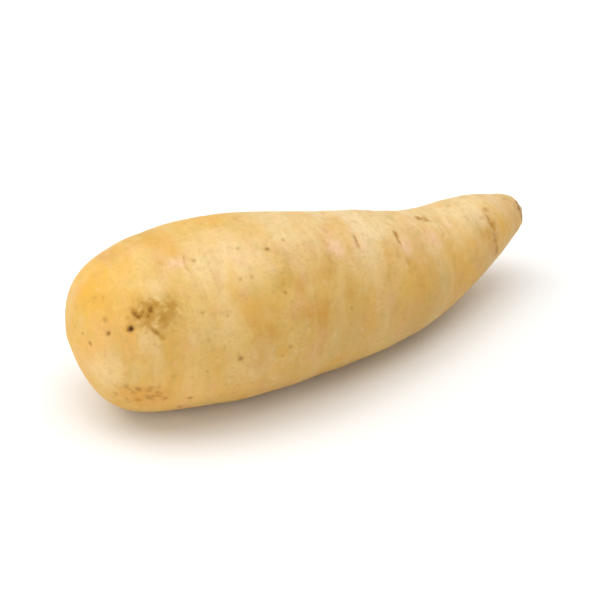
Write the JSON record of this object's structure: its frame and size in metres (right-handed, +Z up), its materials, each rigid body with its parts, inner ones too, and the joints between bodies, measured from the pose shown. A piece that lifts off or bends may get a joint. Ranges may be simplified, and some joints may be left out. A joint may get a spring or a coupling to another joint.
{
  "type": "arracacha root",
  "caption": "Fresh arracacha root lying on its side: a thick, smooth, pale yellow storage root with a blunt end, tapering in a gentle curve to a small snapped tip.",
  "frame": {"origin": "on the surface the root lies on, under the middle of its bounding box", "axes": "+X runs along the root from the thick end to the tip, +Z is up as it lies, and the root bows towards -Y"},
  "size_m": [0.1484, 0.0562, 0.0517],
  "materials": {
    "root_skin": "satin"
  },
  "bodies": {
    "root": {"arracacha_root": "root_skin"}
  },
  "joints": []
}
